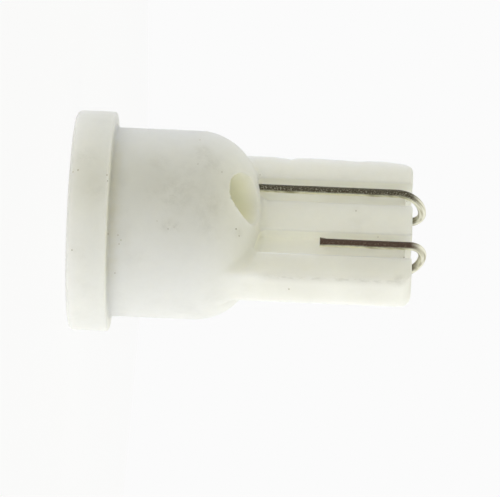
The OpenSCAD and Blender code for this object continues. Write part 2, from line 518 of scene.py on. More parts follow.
# %% Mixed colours and bumps
def mix_colour(tree, factor, a, b):
    """Colour a where the factor is 0, b where it is 1. Sockets 6, 7 and 2 are a mix's colours."""
    a, b = (v if isinstance(v, bpy.types.NodeSocket) else (*v, 1) for v in (a, b))
    return add_node(tree, "ShaderNodeMix", {0: factor, 6: a, 7: b}, data_type="RGBA").outputs[2]


def bump(tree, shader, height, distance_mm, strength=1.0):
    inputs = {"Height": height, "Strength": strength, "Distance": distance_mm * MM}
    made = add_node(tree, "ShaderNodeBump", inputs)
    tree.links.new(made.outputs["Normal"], shader.inputs["Normal"])


# %% [markdown]
# ## White moulded plastic
# The plastic is matte and lets light through for a millimetre or two, which
# warms its grooves and round pockets. On top of that the grooves and pockets
# are painted a lighter, warmer white, as painted light. Handling has left grey
# smudges and stains, and grey patches on the flange, cup, dome and the wedge's
# narrow side are painted shade. The corner behind the flange is painted darker
# and warmer, as grime and painted shade, and a faint line of grime runs along
# the wedge's near edge. A picture could be wrapped on for this, but it would
# smear on the round parts. So each mark is a place and a reach in
# millimetres, and noise breaks up its outline.

# %% Tones of the plastic
WHITE = (0.87, 0.867, 0.815)
# Painted light: a lighter, warmer white for the grooves and the dome's pockets, which would else
# look too dark.
PAINTED_GROOVE_LIGHT = (0.99, 0.982, 0.87)
PAINTED_VENT_LIGHT = (0.97, 0.952, 0.79)
# This grey is for smudges and stains, and for patches of painted shade.
STAIN_AND_SHADE_GREY = (0.673, 0.668, 0.62)
GRIME = (0.33, 0.32, 0.26)
# Beige darkens the corner behind the flange: grime, and painted shade.
BEIGE = (0.84, 0.81, 0.685)


# %% Where the pockets and the grooves are
RIM_OUTSIDE = 0.12
RIM_INSIDE = 0.02
VENT_TONE_Z = 8.6
GROOVE_SIDE = 0.06
GROOVE_TONE_DEPTH = 0.15


def inside_vents(tree, axes):
    """1 in the two round pockets of the dome, where a lighter, warmer white is painted as painted
    light; 0 elsewhere.
    """
    found = 0.0
    for side in (1, -1):
        dx = plus(tree, axes["X"], side * VENT_X * MM)
        dy = minus(tree, axes["Y"], side * VENT_Y * MM)
        away = hypot(tree, dx, dy)
        near = band(tree, away, (VENT_R + RIM_OUTSIDE) * MM, (VENT_R - RIM_INSIDE) * MM)
        found = math_node(tree, "MAXIMUM", near, found)
    return times(tree, found, band(tree, axes["Z"], DOME_TOP * MM, VENT_TONE_Z * MM))


def inside_grooves(tree, axes):
    """1 on the floors and walls of the wedge's four grooves, where a lighter, warmer white is
    painted as painted light; 0 elsewhere.
    """
    from_wire = minus(tree, math_node(tree, "ABSOLUTE", axes["X"]), WIRE_X * MM)
    beside = math_node(tree, "ABSOLUTE", from_wire)
    between = band(tree, beside, (GROOVE_W / 2 + GROOVE_SIDE) * MM, GROOVE_W / 2 * MM)
    height = math_node(tree, "ABSOLUTE", axes["Y"])
    sunk = band(tree, height, WEDGE_T / 2 * MM, (WEDGE_T / 2 - GROOVE_TONE_DEPTH) * MM)
    return times(tree, between, sunk)


# %% Stains and patches of painted shade, each a pixel of the photograph, a radius in millimetres and a strength
# Patches of painted shade: a darker band on the camera's upper side of the flange, cup and dome,
# and on the wedge's narrow side.
SHADE_PATCHES = [
    (205, 196, 4.6, 0.45), (92, 180, 2.6, 0.45), (156, 180, 2.6, 0.55),
    (300, 290, 3.8, 0.45), (370, 290, 3.8, 0.45),
]
STAINS = [
    (176, 194, 1.5, 0.9), (156, 191, 0.9, 0.5), (166, 225, 0.6, 0.7), (175, 227, 0.5, 0.7),
    (160, 163, 0.9, 0.5), (202, 153, 0.9, 0.7), (210, 165, 1.0, 0.6), (209, 203, 1.4, 0.8),
    (206, 222, 1.0, 0.6), (190, 180, 1.6, 0.5), (239, 233, 0.4, 0.7), (84, 158, 0.9, 0.6),
    (99, 190, 1.0, 0.4), (399, 280, 0.6, 0.8), (225, 186, 0.6, 0.3),
]


def stained(tree, place, stains):
    """How much stain or painted shade a place has: strongest in the middle of each patch."""
    total = 0.0
    for px, py, radius, strength in stains:
        away = vector_math(tree, "DISTANCE", place, on_body(px, py) * MM)
        near = band(tree, away.outputs["Value"], radius * MM, 0.0)
        total = math_node(tree, "MAXIMUM", times(tree, near, strength), total)
    return total


print("stains:", len(STAINS), "and patches of painted shade:", len(SHADE_PATCHES))


# %% Grime and painted shade in the corner behind the flange
CORNER_HEIGHT = 0.75
CORNER_FULL = 0.1
CORNER_BELOW = -0.12
CORNER_LEAN = 0.12
CORNER_TURN = (0.55, 0.9)


def corner_dirt(tree, place, axes):
    """Grime and painted shade, strongest in the corner that faces the camera and up."""
    flat = vector_math(tree, "MULTIPLY", place, (1, 1, 0))
    outward = vector_math(tree, "NORMALIZE", flat.outputs[0])
    grimy_or_shaded_side = (level + CORNER_LEAN * rise).normalized()
    towards = vector_math(tree, "DOT_PRODUCT", outward.outputs[0], grimy_or_shaded_side)
    facing = band(tree, towards.outputs["Value"], *CORNER_TURN)
    low = minus(tree, axes["Z"], FLANGE_T * MM)
    above = band(tree, low, CORNER_HEIGHT * MM, CORNER_FULL * MM)
    near = times(tree, above, band(tree, low, CORNER_BELOW * MM, 0.0))
    return times(tree, near, facing)


# %% Dirt along the wedge's near edge
EDGE_LIFT = 0.1
DASH_REACH = 0.2
DASH_FULL = 0.03
DASH_SIZE = 0.14
DASH_SHARE = 0.24
DASH_STRETCH = (1, 1, 0.4)
HAZE_REACH = 0.5
HAZE_SHARE = 0.16
EDGE_START = 9.6
EDGE_FULL = 10.6


def edge_dirt(tree, place, axes):
    """A faint line along the wedge's near edge, with darker dashes in it."""
    dx = plus(tree, axes["X"], WEDGE_W / 2 * MM)
    dy = minus(tree, axes["Y"], (WEDGE_T / 2 - EDGE_LIFT) * MM)
    away = hypot(tree, dx, dy)
    past_dome = band(tree, axes["Z"], EDGE_START * MM, EDGE_FULL * MM)
    stretched = add_node(tree, "ShaderNodeMapping", {"Vector": place, "Scale": DASH_STRETCH})
    broken = band(tree, noise(tree, stretched.outputs[0], DASH_SIZE, 3.0), 0.4, 0.7)
    dashes = times(tree, band(tree, away, DASH_REACH * MM, DASH_FULL * MM), broken)
    haze = times(tree, band(tree, away, HAZE_REACH * MM, 0.0), HAZE_SHARE)
    both = plus(tree, times(tree, dashes, DASH_SHARE), haze)
    return times(tree, both, past_dome)


# %% The plastic's colour, from its tones and marks
SMUDGE_SIZE = 2.6
SMUDGE_SHARE = 0.35
CLOUD_SIZE = 0.5
EVERYWHERE = 0.1
PATCH_SIZE = 0.6

plastic, tree, shader, place = new_finish("moulded_white", WHITE, 0.5)
axes = xyz(tree, place)
smudged = band(tree, noise(tree, place, SMUDGE_SIZE, 5.0, 0.6), 0.5, 0.8)
smudges = times(tree, smudged, SMUDGE_SHARE)
cloudy = band(tree, noise(tree, place, CLOUD_SIZE, 6.0, 0.75), 0.3, 0.75)
marks = plus(tree, stained(tree, place, STAINS), EVERYWHERE)
blotches = times(tree, marks, cloudy)
colour = mix_colour(tree, plus(tree, smudges, blotches), WHITE, STAIN_AND_SHADE_GREY)
# Patches of painted shade.
colour = mix_colour(tree, stained(tree, place, SHADE_PATCHES), colour, STAIN_AND_SHADE_GREY)
# Painted light in the dome's pockets.
colour = mix_colour(tree, inside_vents(tree, axes), colour, PAINTED_VENT_LIGHT)
# Painted light in the grooves.
colour = mix_colour(tree, inside_grooves(tree, axes), colour, PAINTED_GROOVE_LIGHT)
patchy = band(tree, noise(tree, place, PATCH_SIZE, 4.0, 0.6), 0.0, 0.8)
# Grime and painted shade in the corner behind the flange.
grime_and_shade_in_corner = times(tree, corner_dirt(tree, place, axes), patchy)
colour = mix_colour(tree, grime_and_shade_in_corner, colour, BEIGE)
colour = mix_colour(tree, edge_dirt(tree, place, axes), colour, GRIME)
tree.links.new(colour, shader.inputs["Base Color"])

# %% The plastic's depth and grain, on the body
GLOW_DEPTH = 2.2
GRAIN_SIZE = 0.12
GRAIN_DEPTH = 0.01
GRAIN_STRENGTH = 0.35

shader.inputs["Subsurface Weight"].default_value = 1.0
shader.inputs["Subsurface Radius"].default_value = (1.0, 0.97, 0.9)
shader.inputs["Subsurface Scale"].default_value = GLOW_DEPTH * MM
bump(tree, shader, noise(tree, place, GRAIN_SIZE, 2.0), GRAIN_DEPTH, GRAIN_STRENGTH)
shell.data.materials.append(plastic)
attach(shell, BODY)
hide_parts("housing")
print("nodes in the plastic's finish:", len(tree.nodes))

# %% [markdown]
# ## The lead wires
# Each wire is a path with a thickness, which is what Geometry Nodes sweep
# best. The path runs straight from the board, turns round the wedge's end in
# a wide and then a tight quarter, and stops at a cut. The tree sweeps it,
# widens the burr at the cut and gives the tin its slight unevenness.

# %% Helpers for Geometry Nodes
SOCKETS = {kind: "NodeSocket" + kind.title() for kind in ("float", "int", "material", "object")}


def new_tree(name, inputs):
    """An empty tree with a geometry in and out and the named inputs."""
    tree = bpy.data.node_groups.new(name, "GeometryNodeTree")
    tree.interface.new_socket("Geometry", in_out="INPUT", socket_type="NodeSocketGeometry")
    for key, kind in inputs.items():
        tree.interface.new_socket(key, in_out="INPUT", socket_type=SOCKETS[kind])
    tree.interface.new_socket("Geometry", in_out="OUTPUT", socket_type="NodeSocketGeometry")
    given = tree.nodes.new("NodeGroupInput").outputs
    return tree, given


def end_tree(tree, geometry, material):
    """Real geometry with its material, as the tree's result."""
    real = add_node(tree, "GeometryNodeRealizeInstances", {"Geometry": geometry}).outputs[0]
    painted = add_node(tree, "GeometryNodeSetMaterial", {"Geometry": real, "Material": material})
    result = tree.nodes.new("NodeGroupOutput")
    tree.links.new(painted.outputs[0], result.inputs[0])


# %% A piece grown by a tree, and a path to grow along
def grow(name, source, tree, values):
    """Runs the tree on a source object and keeps the result as a plain mesh."""
    modifier = source.modifiers.new("grow", "NODES")
    modifier.node_group = tree
    for item in tree.interface.items_tree:
        if item.in_out == "INPUT" and item.name in values:
            modifier[item.identifier] = values[item.name]
    bpy.context.view_layer.update()
    graph = bpy.context.evaluated_depsgraph_get()
    mesh = bpy.data.meshes.new_from_object(source.evaluated_get(graph), depsgraph=graph)
    mesh.name = name
    source.modifiers.remove(modifier)
    bpy.data.objects.remove(source)
    print(name, "faces:", len(mesh.polygons))
    return new_object(name, mesh)


def path_object(points_mm):
    """A curve object through points given in millimetres."""
    curve = bpy.data.curves.new("path", "CURVE")
    curve.dimensions = "3D"
    line = curve.splines.new("POLY")
    line.points.add(len(points_mm) - 1)
    for p, q in zip(line.points, points_mm):
        p.co = (*(Vector(q) * MM), 1)
    return new_object("path", curve)


# %% The tree that makes a wire
RING_POINTS = 28
BURR_REACH = 1.6
LUMP_SIZE = 0.5
WIRE_INPUTS = {"radius": "float", "step": "float", "ripple": "float", "flare": "float"}


def swept_wire(tree, given):
    """The path, evenly stepped, swept by a ring that widens at the cut end."""
    steps = {"Curve": given["Geometry"], "Length": given["step"]}
    even = add_node(tree, "GeometryNodeResampleCurve", steps, mode="LENGTH").outputs[0]
    run = add_node(tree, "GeometryNodeSplineParameter").outputs["Length"]
    total = add_node(tree, "GeometryNodeSplineLength").outputs["Length"]
    left = minus(tree, total, run)
    close = math_node(tree, "DIVIDE", left, times(tree, given["radius"], BURR_REACH))
    shut = minus(tree, 1.0, math_node(tree, "MINIMUM", close, 1.0))
    thickness = plus(tree, 1.0, times(tree, shut, given["flare"]))
    circle = {"Resolution": RING_POINTS, "Radius": given["radius"]}
    ring = add_node(tree, "GeometryNodeCurvePrimitiveCircle", circle).outputs[0]
    inputs = {"Curve": even, "Profile Curve": ring, "Scale": thickness, "Fill Caps": True}
    return add_node(tree, "GeometryNodeCurveToMesh", inputs).outputs[0]


def wire_tree():
    tree, given = new_tree("wire_from_path", {**WIRE_INPUTS, "finish": "material"})
    lumps = add_node(tree, "ShaderNodeTexNoise", {"Scale": 1 / (LUMP_SIZE * MM)})
    sunk = minus(tree, lumps.outputs["Fac"], 1.0)
    normal = add_node(tree, "GeometryNodeInputNormal").outputs[0]
    push = vector_math(tree, "SCALE", normal)
    tree.links.new(times(tree, sunk, given["ripple"]), push.inputs["Scale"])
    moved = add_node(
        tree, "GeometryNodeSetPosition",
        {"Geometry": swept_wire(tree, given), "Offset": push.outputs[0]},
    )
    smooth = add_node(tree, "GeometryNodeSetShadeSmooth", {"Geometry": moved.outputs[0]})
    end_tree(tree, smooth.outputs[0], given["finish"])
    return tree


# %% The path of a wire
TAIL_END = 13.05
WIDE_BEND = 1.45
START_LIFT = 0.02


def arc(radius, start, stop, step):
    """Points round a bend at the wedge's end, from one angle to another in degrees."""
    middle = WIRE_Y - WIDE_BEND
    return [
        (WIRE_X, middle + radius * math.cos(turned), WIRE_TOP - radius + radius * math.sin(turned))
        for turned in np.radians(np.arange(start, stop, step))
    ]


def wire_path():
    """Centre line of the first wire, in millimetres, from the board to the cut."""
    tight_bend = 2 * WIRE_Y - WIDE_BEND
    start = (WIRE_X, WIRE_Y, SEAT_DEPTH + START_LIFT)
    stop = (WIRE_X, -WIRE_Y, TAIL_END)
    return [start, *arc(WIDE_BEND, 0, 90, 4), *arc(tight_bend, 90, 181, 6), stop]


print("points along a wire's path:", len(wire_path()))

# %% [markdown]
# ## Tarnished tin
# The wires are copper with a thin coat of tin. Where they lie along the wedge
# the tin has gone dull: grey and gritty on one wire, reddish brown on the
# other. Round the bends it is still bright, and underneath it is painted
# lighter, a painted highlight where the light comes from below. Two materials
# with a hard border would look painted on. So one finish reads which way the
# surface faces and how high it is, and noise makes the border uneven.

# %% Lines drawn along the wire
# Lighter tin: clean round the bend, and a painted highlight underneath, where the light comes from
# below.
LIT_OR_CLEAN_TIN = (0.95, 0.94, 0.77)
DRAWN_TIN = (0.44, 0.415, 0.28)
LINES_ACROSS = 2.6
LINE_LENGTH = 1.1


def drawn_lines(tree, facing, axes):
    """Lines along the wire that follow its bend, as they depend on the side that faces out."""
    side = times(tree, xyz(tree, facing)["X"], LINES_ACROSS)
    run = math_node(tree, "DIVIDE", plus(tree, axes["Y"], axes["Z"]), LINE_LENGTH * MM)
    line = add_node(tree, "ShaderNodeCombineXYZ", {"X": side, "Y": run})
    streaks = add_node(
        tree, "ShaderNodeTexNoise", {"Vector": line.outputs[0], "Scale": 1.0, "Detail": 3.0}
    )
    return band(tree, streaks.outputs["Fac"], 0.42, 0.66)


# %% Where the tin is painted lit underneath, and still bright round the bend
MOTTLE_SIZE = 0.25
MOTTLE_SHARE = 0.35
UNDER_TURN = (0.24, 0.85)
BEND_START = 17.75
BEND_FULL = 18.45
BEND_SHARE = 0.9
BEND_UNEVEN = 0.8


def still_bright(tree, place, facing, axes):
    """1 underneath the wire, a painted highlight from the light below, and round its bend, where
    the tin is clean; 0 on the side that lay upwards.
    """
    lower = vector_math(tree, "DOT_PRODUCT", facing, -rise)
    mottle = minus(tree, noise(tree, place, MOTTLE_SIZE, 5.0, 0.7), 0.5)
    uneven = times(tree, mottle, MOTTLE_SHARE)
    under = band(tree, plus(tree, lower.outputs["Value"], uneven), *UNDER_TURN)
    reach = plus(tree, axes["Z"], times(tree, uneven, BEND_UNEVEN * MM))
    bend = band(tree, reach, BEND_START * MM, BEND_FULL * MM)
    return math_node(tree, "MAXIMUM", under, times(tree, bend, BEND_SHARE))


# %% The wires' finishes
DULL_ROUGHNESS = 0.5
BRIGHT_ROUGHNESS = 0.3
PIT_DEPTH = 0.012
PIT_STRENGTH = 0.6


def tin_finish(name, tarnish, speck, grain_mm):
    """Dull on the side that lay upwards, painted lighter underneath as a painted highlight, and
    bright round the bend.
    """
    finish, tree, shader, place = new_finish(name, tarnish, DULL_ROUGHNESS, 1.0)
    axes = xyz(tree, place)
    facing = add_node(tree, "ShaderNodeTexCoord").outputs["Normal"]
    bright = still_bright(tree, place, facing, axes)
    grains = band(tree, noise(tree, place, grain_mm, 2.0), 0.51, 0.7)
    dull = mix_colour(tree, grains, tarnish, speck)
    clean = mix_colour(tree, drawn_lines(tree, facing, axes), LIT_OR_CLEAN_TIN, DRAWN_TIN)
    tree.links.new(mix_colour(tree, bright, dull, clean), shader.inputs["Base Color"])
    levels = {"Value": bright, "To Min": DULL_ROUGHNESS, "To Max": BRIGHT_ROUGHNESS}
    rough = add_node(tree, "ShaderNodeMapRange", levels)
    tree.links.new(rough.outputs["Result"], shader.inputs["Roughness"])
    bump(tree, shader, noise(tree, place, grain_mm, 3.0), PIT_DEPTH, PIT_STRENGTH)
    print(name, "nodes:", len(tree.nodes))
    return finish


grey_tin = tin_finish("tarnished_tin_grey", (0.072, 0.064, 0.042), (0.36, 0.34, 0.26), 0.06)
brown_tin = tin_finish("tarnished_tin_brown", (0.085, 0.058, 0.042), (0.15, 0.115, 0.085), 0.09)

# %% Both wires
sweep = wire_tree()
WIRE_SIZES = {"radius": WIRE_R * MM, "step": 0.07 * MM, "ripple": 0.016 * MM, "flare": 0.22}
for number, (node_name, finish) in enumerate(
    (("lead_wire_1", grey_tin), ("lead_wire_2", brown_tin))
):
    side = 1 - 2 * number
    path = path_object([(side * x, side * y, z) for x, y, z in wire_path()])
    wire = grow(f"wire_{number + 1}", path, sweep, {**WIRE_SIZES, "finish": finish})
    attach(wire, BODY)
    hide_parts(node_name)

# %% [markdown]
# ## Small parts as formulas too
# The parts on the board are blocks, strips and cones with tiny radii. The
# body's way of working suits them as well: a rounded block or cone is one
# line, and the joins between them are rounded by the same helpers. Each part
# is made once, about its own middle.

# %% Rounded blocks and cones
def block(p, low, high, r):
    """Distance to a box between two corners, with its edges rounded."""
    low, high = np.array(low), np.array(high)
    d = np.abs(p - (low + high) / 2) - (high - low) / 2 + r
    return np.linalg.norm(np.maximum(d, 0), axis=-1) + np.minimum(d.max(axis=-1), 0) - r


def node_size(name):
    low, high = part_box(name)
    return np.array(low) / MM, np.array(high) / MM


package_low, package_high = node_size("lamp_1_package")
lit_low, lit_high = node_size("lamp_1_phosphor")
lead_low, lead_high = node_size("lamp_1_leads")
lamp_mid = (package_low + package_high) / 2
lamp_mid[2] = package_low[2]
PACKAGE_L, PACKAGE_W, PACKAGE_H = package_high - package_low
LAMP_L, LEAD_W, _ = lead_high - lead_low
LAMP_H = lead_high[2] - package_low[2]
LIT_R = (lit_high[0] - lit_low[0]) / 2
LIT_SLOPE = 0.23
LIT_FLOOR_R = LIT_R - LIT_SLOPE
LIT_DEPTH = lit_high[2] - lit_low[2]
LEAD_T = (LAMP_L - PACKAGE_L) / 2
print("lamp", round(LAMP_L, 2), "by", round(PACKAGE_W, 2), "by", round(LAMP_H, 2), "mm")
print("lit radius", round(LIT_R, 2), "mm")


# %% A lamp's package and its gel
CORNER_CUT = 0.33
PACKAGE_ROUND = 0.05
CORNER_ROUND = 0.03
LIT_RIM = 0.04
GEL_SAG = 0.05
GEL_TOP = 0.008
GEL_OVERLAP = 0.02
GEL_ROUND = 0.015


def reflector(p, grow=0.0):
    radius = np.hypot(p[..., 0], p[..., 1])
    lean = (LIT_R - LIT_FLOOR_R) / LIT_DEPTH
    side = (radius - LIT_R + lean * p[..., 2]) / math.hypot(1, lean)
    return round_and(side - grow, p[..., 2] - LIT_DEPTH, PACKAGE_ROUND)


def package(p):
    half_l, half_w = PACKAGE_L / 2, PACKAGE_W / 2
    body = block(p, (-half_l, -half_w, 0), (half_l, half_w, PACKAGE_H), PACKAGE_ROUND)
    corner = (p[..., 0] + p[..., 1] - half_l - half_w + CORNER_CUT) / math.sqrt(2)
    return cut_away(round_and(body, corner, CORNER_ROUND), reflector(p), LIT_RIM)


def phosphor(p):
    """The gel in the cup. Its face is drawn down a little, as it is when it sets."""
    radius = np.hypot(p[..., 0], p[..., 1])
    face = GEL_SAG * (1 - (radius / LIT_R) ** 2) + GEL_TOP - p[..., 2]
    return round_and(reflector(p, GEL_OVERLAP), face, GEL_ROUND)


# %% A lamp's leads and their solder
FOOT_L = 0.6
LEAD_RISE = 0.4
LEAD_ROUND = 0.03
LEAD_BEND = 0.04
FILLET_W = 0.13
FILLET_H = 0.32
FILLET_UNDER = 0.04
FILLET_NARROWS = 0.12


def leads(p):
    """Both leads at once: each is a strip down the package's end, with a foot under it."""
    q = np.concatenate([np.abs(p[..., :1]), p[..., 1:]], axis=-1)
    half, end = LEAD_W / 2, LAMP_L / 2
    upright = block(q, (end - LEAD_T, -half, LAMP_H - LEAD_RISE), (end, half, LAMP_H), LEAD_ROUND)
    foot = block(q, (end - FOOT_L, -half, LAMP_H - LEAD_T), (end, half, LAMP_H), LEAD_ROUND)
    return round_or(upright, foot, LEAD_BEND)


def lead_solder(p):
    """Solder that has crept up the lead in a hollow curve."""
    out = np.abs(p[..., 0]) - LAMP_L / 2
    down = LAMP_H - p[..., 2]
    climb = np.sqrt(np.clip(out, 0, 1) / FILLET_W) + np.sqrt(np.clip(down, 0, 1) / FILLET_H)
    inside = np.maximum((climb - 1) * FILLET_W / 2, np.maximum(-FILLET_UNDER - out, -down))
    ends = np.abs(p[..., 1]) - LEAD_W / 2 + FILLET_NARROWS * (down / FILLET_H) ** 2
    return round_and(inside, ends, LEAD_ROUND)


print("gel is", round(-float(phosphor(np.array([0.0, 0.0, 0.2]))), 2), "mm deep round its middle")

# %% [markdown]
# ## Four lamps from one
# Each lamp part is set out four times by one Geometry Nodes tree: a point
# holds the lamp's place and how far it is turned, and the tree puts a copy
# there. The lamps on the two sides face opposite ways, so that each cut
# corner lies at the rim or at the middle of the board.

# %% The tree that sets out copies
def copies_tree():
    tree, given = new_tree("copies_at_points", {"part": "object", "finish": "material"})
    part = add_node(tree, "GeometryNodeObjectInfo", {"Object": given["part"]})
    turn = add_node(tree, "GeometryNodeInputNamedAttribute", {"Name": "turn"}, data_type="FLOAT")
    about = add_node(tree, "ShaderNodeCombineXYZ", {"Z": turn.outputs[0]})
    placed = add_node(
        tree, "GeometryNodeInstanceOnPoints",
        {"Points": given["Geometry"], "Instance": part.outputs["Geometry"],
         "Rotation": about.outputs[0]},
    )
    end_tree(tree, placed.outputs[0], given["finish"])
    return tree


COPIES = copies_tree()


def points_object(places, **attributes):
    """A mesh of loose points, in millimetres, with a float attribute for each keyword."""
    mesh = bpy.data.meshes.new("places")
    mesh.from_pydata([Vector(q) * MM for q in places], [], [])
    for key, values in attributes.items():
        mesh.attributes.new(key, "FLOAT", "POINT").data.foreach_set("value", values)
    return new_object("places", mesh)


def set_out(name, field, low, high, cell, places, turns, finish, nodes):
    """Makes a part once, sets out its copies, and lets them stand for their solids."""
    part = mesh_of(name + "_one", field, low, high, cell * (1))
    made = grow(name, points_object(places, turn=turns), COPIES, {"part": part, "finish": finish})
    bpy.data.objects.remove(part)
    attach(made, BODY)
    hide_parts(*nodes)
    return made


# %% Finishes of the lamps
GRAINY_STRENGTH = 0.6


def grainy(name, colour, roughness, metallic, size_mm, depth_mm, vary=0.12):
    """A finish with a fine grain in its height and a slight change of tone."""
    finish, tree, shader, place = new_finish(name, colour, roughness, metallic)
    tone = band(tree, noise(tree, place, size_mm * 4, 4.0), 0.35, 0.7)
    darker = tuple(c * (1 - vary) for c in colour)
    tree.links.new(mix_colour(tree, tone, colour, darker), shader.inputs["Base Color"])
    bump(tree, shader, noise(tree, place, size_mm, 3.0), depth_mm, GRAINY_STRENGTH)
    print("finish", name)
    return finish, shader


lamp_white, _ = grainy("lamp_package_white", (0.84, 0.84, 0.81), 0.42, 0.0, 0.06, 0.004, 0.04)
gel, shader = grainy("phosphor_gel", (0.86, 0.60, 0.08), 0.28, 0.0, 0.05, 0.003, 0.18)
shader.inputs["Subsurface Weight"].default_value = 0.4
shader.inputs["Subsurface Scale"].default_value = 0.2 * MM
lead_tin, _ = grainy("lead_frame_tin", (0.78, 0.77, 0.74), 0.32, 1.0, 0.04, 0.002, 0.15)
solder, _ = grainy("solder_bright", (0.70, 0.70, 0.69), 0.26, 1.0, 0.12, 0.01, 0.2)

# %% The four lamps
BLOCK_CELL = 0.05
STRIP_CELL = 0.03
lamp_x, lamp_y, lamp_z = lamp_mid
PLACES = [(sx * lamp_x, sy * lamp_y, lamp_z) for sx, sy in ((1, 1), (-1, 1), (-1, -1), (1, -1))]
TURNS = [0.0, math.pi, math.pi, 0.0]
reach_l, reach_w = LAMP_L / 2 + 0.25, PACKAGE_W / 2 + 0.1
for name, field, cell, finish, slot in (
    ("package", package, BLOCK_CELL, lamp_white, "package"),
    ("phosphor", phosphor, BLOCK_CELL, gel, "phosphor"),
    ("leads", leads, STRIP_CELL, lead_tin, "plated_lead"),
    ("solder", lead_solder, STRIP_CELL, solder, "solder"),
):
    set_out(
        "lamps_" + name, field, (-reach_l, -reach_w, -0.1), (reach_l, reach_w, LAMP_H + 0.1), cell,
        PLACES, TURNS, finish, [f"lamp_{i}_{name}" for i in (1, 2, 3, 4)],
    )

# %% [markdown]
# ## Resistors and wire joints on the back of the board
# The two resistors and the two cones of solder hide inside the cup. They are
# pairs, turned half round the axis, so the same tree sets them out, this time
# from the middle of the bulb.

# %% A resistor's body and end caps
resistor_low, resistor_high = node_size("resistor_1_caps")
core_low, core_high = node_size("resistor_1_body")
CAP_L = 0.38
CAP_ROUND = 0.06
CAP_WAVE = 0.015


def resistor_core(p):
    return block(p, core_low, core_high, LEAD_ROUND)


def resistor_caps(p):
    """Plated ends, whose inner edges are a little wavy, over the ceramic body."""
    whole = block(p, resistor_low, resistor_high, CAP_ROUND)
    middle = (resistor_low[0] + resistor_high[0]) / 2
    half = (resistor_high[0] - resistor_low[0]) / 2
    wavy = CAP_WAVE * np.sin(9 * p[..., 1]) * np.cos(7 * p[..., 2])
    outer = half - CAP_L + wavy - np.abs(p[..., 0] - middle)
    return cut_away(round_and(whole, outer, 0.02), block(p, core_low, core_high, 0.02), 0.005)


# %% A cone of solder round a wire
cone_low, cone_high = node_size("wire_solder_1")
CONE_R = (cone_high[0] - cone_low[0]) / 2
CONE_H = cone_high[2] - cone_low[2]
CONE_TIP_R = WIRE_R + 0.06
CONE_HOLLOW = 1.8
CONE_SLOPE = 0.75


def wire_cone(p):
    """Solder drawn up round the wire: wide and flat at the board, thin at the tip."""
    radius = np.hypot(p[..., 0] - WIRE_X, p[..., 1] - WIRE_Y)
    height = np.clip((p[..., 2] - cone_low[2]) / CONE_H, 0, 1)
    skirt = CONE_TIP_R + (CONE_R - CONE_TIP_R) * (1 - height) ** CONE_HOLLOW
    cone = round_and((radius - skirt) * CONE_SLOPE, p[..., 2] - cone_high[2], LEAD_ROUND)
    return cut_away(np.maximum(cone, cone_low[2] - p[..., 2]), radius - WIRE_R, 0.01)


# %% The resistors and the cones
black, _ = grainy("resistor_black", (0.025, 0.025, 0.028), 0.35, 0.0, 0.05, 0.002, 0.3)
for name, field, low, high, finish, slot, nodes in (
    ("resistor_bodies", resistor_core, core_low, core_high, black, "resistor_body",
     "resistor_{}_body"),
    ("resistor_end_caps", resistor_caps, resistor_low, resistor_high, lead_tin, "plated_lead",
     "resistor_{}_caps"),
    ("wire_joints", wire_cone, cone_low, cone_high, solder, "solder", "wire_solder_{}"),
):
    set_out(
        name, field, low - 0.1, high + 0.1, STRIP_CELL, [(0, 0, 0)] * 2, [0.0, math.pi],
        finish, [nodes.format(i) for i in (1, 2)],
    )

# %% [markdown]
# ## The board
# The board is a punched disc with a white coat on both faces and bare glass
# fibre at its rim, where its layers show. Two copper tracks run under the
# coat, one along each row of lamps. The coat stands slightly proud over
# them, which only needs a bump and a slight change of tone.

# %% The board's mesh
BOARD_CELL = 0.08
BOARD_ROUND = 0.05


def disc(p):
    radius = np.hypot(p[..., 0], p[..., 1])
    half = (board_high.z - board_low.z) / 2
    thick = np.abs(p[..., 2] - (board_low.z + board_high.z) / 2) - half
    return round_and(radius - board_high.x, thick, BOARD_ROUND)


around = Vector((0.3, 0.3, 0.3))
board = mesh_of("board_disc", disc, board_low - around, board_high + around, BOARD_CELL)

# %% The board's coat, tracks and rim
COAT = (0.80, 0.81, 0.77)
FIBRE = (0.55, 0.52, 0.33)
FIBRE_DARK = tuple(c * 0.7 for c in FIBRE)
TRACK = (0.70, 0.72, 0.66)
TRACK_Y = 1.48
TRACK_HALF = 0.5
TRACK_EDGE = 0.06
LAYER_T = 0.35
COAT_WAVE = 0.15

coat, tree, shader, place = new_finish("board_white_coat", COAT, 0.34)
axes = xyz(tree, place)
radius = hypot(tree, axes["X"], axes["Y"])
rim = band(tree, radius, (board_high.x - 0.05) * MM, (board_high.x - 0.02) * MM)
layers = add_node(
    tree, "ShaderNodeTexWave",
    {"Vector": place, "Scale": 1 / (LAYER_T * MM), "Distortion": 1.5}, bands_direction="Z",
)
fibre = mix_colour(tree, layers.outputs["Fac"], FIBRE, FIBRE_DARK)
from_track = minus(tree, math_node(tree, "ABSOLUTE", axes["Y"]), TRACK_Y * MM)
beside = math_node(tree, "ABSOLUTE", from_track)
bare = band(tree, beside, TRACK_HALF * MM, (TRACK_HALF + TRACK_EDGE) * MM)
track = minus(tree, 1.0, bare)
coated = mix_colour(tree, track, COAT, TRACK)
tree.links.new(mix_colour(tree, rim, coated, fibre), shader.inputs["Base Color"])
waves = times(tree, noise(tree, place, COAT_WAVE), 0.2)
bump(tree, shader, plus(tree, track, waves), 0.02, 0.7)
board.data.materials.append(coat)
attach(board, BODY)
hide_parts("board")
print("nodes in the coat's finish:", len(tree.nodes))

# %% [markdown]
# ## Specks of grime, and two of painted shade
# Dark specks lie on the moulding where the photograph shows them. The last
# two, at the ends of the grooves, are painted shade: crumbs where only thin
# shadows lie. A line of sight through each one's pixel finds the place on the
# body, and a tree sets a small crumb there, sunk in the surface, each with its
# own size and turn.

